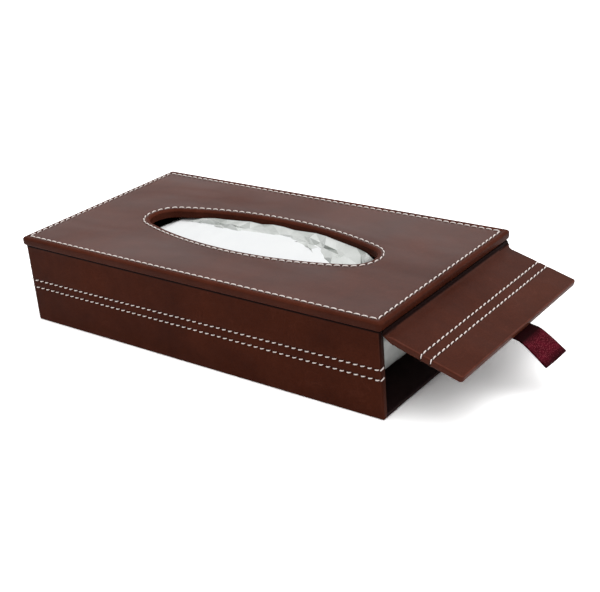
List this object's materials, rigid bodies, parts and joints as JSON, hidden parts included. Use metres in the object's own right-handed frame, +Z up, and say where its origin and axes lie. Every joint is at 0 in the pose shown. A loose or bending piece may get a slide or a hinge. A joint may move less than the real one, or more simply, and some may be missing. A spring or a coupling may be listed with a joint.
{
  "type": "tissue box",
  "caption": "Low leather-covered tissue box with an oval opening in its overhanging top panel, a hinged end flap with a ribbon pull, and a pack of tissues inside.",
  "frame": {"origin": "middle of the box body's base, on the face that it stands on", "axes": "+X along the box, from the closed end to the mouth with its flap; +Y from the front to the back; +Z up"},
  "size_m": [0.2998, 0.1288, 0.052],
  "materials": {
    "leather": "smooth oxblood brown cover leather with a satin sheen",
    "board": "dense grey board",
    "lining_cloth": "near-black lining cloth",
    "base_felt": "black felt",
    "steel": "plain steel strip",
    "magnet": "nickel-plated",
    "ribbon": "woven satin ribbon",
    "film": "thin clear film",
    "tissue": "soft white tissue",
    "thread": "pale twisted sewing thread"
  },
  "bodies": {
    "box": {"base_pad": "base_felt", "keeper_plates": "steel", "floor_board": "board", "floor_lining": "lining_cloth", "front_wall_board": "board", "back_wall_board": "board", "end_wall_board": "board", "wall_leather": "leather", "wall_lining": "lining_cloth", "top_board": "board", "top_leather": "leather", "top_lining": "lining_cloth", "hinge_leather": "leather", "film_wrapper": "film", "tissue_stack": "tissue", "loose_tissue": "tissue"},
    "flap": {"flap_board": "board", "flap_leather": "leather", "flap_lining": "lining_cloth", "flap_magnets": "magnet", "ribbon_tail": "ribbon"},
    "ribbon": {"pull_ribbon": "ribbon"}
  },
  "joints": [
    {"name": "flap_hinge", "type": "hinge", "parent": "box", "child": "flap", "pos_m": [0.12104, 0, 0.0453], "axis": [0, -1, 0], "range_deg": [-73.7, 90], "deforming": ["hinge_leather"]},
    {"name": "ribbon_swing", "type": "hinge", "parent": "flap", "child": "ribbon", "pos_m": [0.1591, 0, 0.03079], "axis": [0, -1, 0], "range_deg": [-122, 100], "deforming": ["pull_ribbon"]}
  ],
  "couplings": [
    {"joint": "ribbon_swing", "follows": "flap_hinge", "ratio": -1.35}
  ]
}
